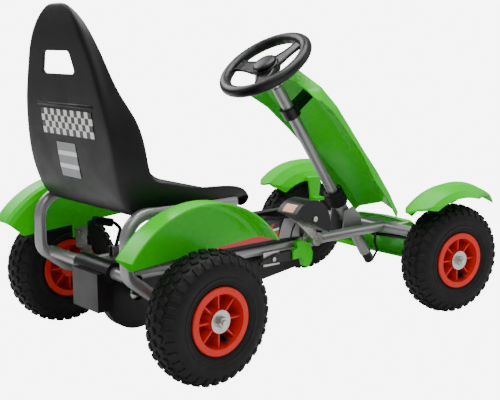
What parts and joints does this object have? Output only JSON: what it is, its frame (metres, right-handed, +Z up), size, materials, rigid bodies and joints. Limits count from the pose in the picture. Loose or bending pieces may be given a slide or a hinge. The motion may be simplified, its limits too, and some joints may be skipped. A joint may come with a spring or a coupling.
{
  "type": "pedal go kart",
  "caption": "Ride-on pedal go kart with a bucket seat, steering wheel, chain drive, front shield, mudguards and pneumatic tyres.",
  "frame": {"origin": "middle of the whole kart on the floor", "axes": "+X forward, +Y to the rider's left, +Z up"},
  "size_m": [1.045, 0.6529, 0.706],
  "materials": {
    "green_plastic": "glossy moulded plastic",
    "red_plastic": "moulded plastic",
    "black_plastic": "satin moulded plastic",
    "tyre": "moulded rubber",
    "rubber": "rubber",
    "grey_paint": "silver grey powder coat",
    "black_paint": "black paint",
    "zinc": "zinc plated",
    "amber": "moulded reflector"
  },
  "bodies": {
    "frame": {"frame_rails": "grey_paint", "front_axle_beam": "grey_paint", "rear_hoop_left": "grey_paint", "rear_hoop_right": "grey_paint", "cross_tubes": "grey_paint", "axle_carriers": "grey_paint", "column_foot": "grey_paint", "seat_supports": "grey_paint", "drive_bearings": "zinc", "panel_bolts": "zinc", "brackets": "zinc", "rear_fender_left": "green_plastic", "rear_fender_right": "green_plastic", "fairing": "green_plastic", "front_bumper": "green_plastic", "seat": "black_plastic", "column_collar": "black_plastic", "chain_case_inner": "black_plastic", "chain_case_outer": "black_plastic", "drive_cover": "black_plastic", "chain": "zinc"},
    "steering": {"steering_wheel": "black_plastic", "steering_hub_cap": "black_plastic", "column_sleeve": "grey_paint", "steering_shaft": "zinc", "drop_arm": "black_paint", "column_cap": "black_plastic"},
    "rear_axle": {"axle_shaft": "zinc", "rear_sprocket": "zinc", "rear_wheel_nuts": "zinc", "rear_tyre_right": "tyre", "rear_inner_tube_right": "rubber", "rear_rim_right": "red_plastic"},
    "rear_wheel_left": {"rear_tyre_left": "tyre", "rear_inner_tube_left": "rubber", "rear_rim_left": "red_plastic"},
    "crank": {"crank": "zinc", "chainring": "zinc"},
    "pedal_left": {"pedal_left": "black_plastic", "pedal_reflector_left": "amber"},
    "pedal_right": {"pedal_right": "black_plastic", "pedal_reflector_right": "amber"},
    "brake_lever": {"brake_lever": "black_paint", "brake_grip": "rubber"},
    "gear_lever": {"gear_lever": "black_paint", "gear_grip": "green_plastic"},
    "knuckle_left": {"knuckle_left": "zinc", "front_fender_left": "green_plastic", "front_wheel_nut_left": "zinc"},
    "front_wheel_left": {"front_tyre_left": "tyre", "front_inner_tube_left": "rubber", "front_rim_left": "red_plastic"},
    "tie_rod_left": {"tie_rod_left": "black_paint"},
    "knuckle_right": {"knuckle_right": "zinc", "front_fender_right": "green_plastic", "front_wheel_nut_right": "zinc"},
    "front_wheel_right": {"front_tyre_right": "tyre", "front_inner_tube_right": "rubber", "front_rim_right": "red_plastic"},
    "tie_rod_right": {"tie_rod_right": "black_paint"}
  },
  "joints": [
    {"name": "steering_turn", "type": "hinge", "parent": "frame", "child": "steering", "pos_m": [0.01769, 0, 0.583], "axis": [-0.5807, 0, 0.8141], "range_deg": [-16, 38]},
    {"name": "rear_axle_spin", "type": "hinge", "parent": "frame", "child": "rear_axle", "pos_m": [-0.36031, 0, 0.13], "axis": [0, 1, 0], "continuous": true},
    {"name": "rear_wheel_left_spin", "type": "hinge", "parent": "frame", "child": "rear_wheel_left", "pos_m": [-0.36031, 0.272, 0.13], "axis": [0, 1, 0], "continuous": true},
    {"name": "crank_spin", "type": "hinge", "parent": "frame", "child": "crank", "pos_m": [0.09969, 0, 0.183], "axis": [0, 1, 0], "continuous": true},
    {"name": "pedal_right_spin", "type": "hinge", "parent": "crank", "child": "pedal_right", "pos_m": [0.02538, -0.126, 0.24991], "axis": [0, 1, 0], "continuous": true},
    {"name": "pedal_left_spin", "type": "hinge", "parent": "crank", "child": "pedal_left", "pos_m": [0.17401, 0.126, 0.11609], "axis": [0, 1, 0], "continuous": true},
    {"name": "brake_pull", "type": "hinge", "parent": "frame", "child": "brake_lever", "pos_m": [-0.31031, 0.128, 0.182], "axis": [0, 1, 0], "range_deg": [-4, 20]},
    {"name": "gear_shift", "type": "hinge", "parent": "frame", "child": "gear_lever", "pos_m": [-0.02331, -0.072, 0.152], "axis": [0, 1, 0], "range_deg": [-4, 14]},
    {"name": "knuckle_left_turn", "type": "hinge", "parent": "frame", "child": "knuckle_left", "pos_m": [0.37669, 0.19, 0.13], "axis": [0, 0, 1], "range_deg": [-14, 34]},
    {"name": "tie_rod_left_turn", "type": "hinge", "parent": "knuckle_left", "child": "tie_rod_left", "pos_m": [0.43578, 0.17958, 0.1465], "axis": [0, 0, 1], "range_deg": [-34, 14]},
    {"name": "front_wheel_left_spin", "type": "hinge", "parent": "knuckle_left", "child": "front_wheel_left", "pos_m": [0.39024, 0.26682, 0.13], "axis": [0.1736, 0.9848, 0], "continuous": true},
    {"name": "knuckle_right_turn", "type": "hinge", "parent": "frame", "child": "knuckle_right", "pos_m": [0.37669, -0.19, 0.13], "axis": [0, 0, 1], "range_deg": [-14, 34]},
    {"name": "tie_rod_right_turn", "type": "hinge", "parent": "knuckle_right", "child": "tie_rod_right", "pos_m": [0.43578, -0.20042, 0.1465], "axis": [0, 0, 1], "range_deg": [-34, 14]},
    {"name": "front_wheel_right_spin", "type": "hinge", "parent": "knuckle_right", "child": "front_wheel_right", "pos_m": [0.36315, -0.26682, 0.13], "axis": [0.1736, 0.9848, 0], "continuous": true}
  ],
  "couplings": [
    {"joint": "crank_spin", "follows": "rear_axle_spin", "ratio": 0.5},
    {"joint": "knuckle_left_turn", "follows": "steering_turn", "ratio": 0.85},
    {"joint": "tie_rod_left_turn", "follows": "steering_turn", "ratio": -0.85},
    {"joint": "knuckle_right_turn", "follows": "steering_turn", "ratio": 0.85},
    {"joint": "tie_rod_right_turn", "follows": "steering_turn", "ratio": -0.85}
  ]
}
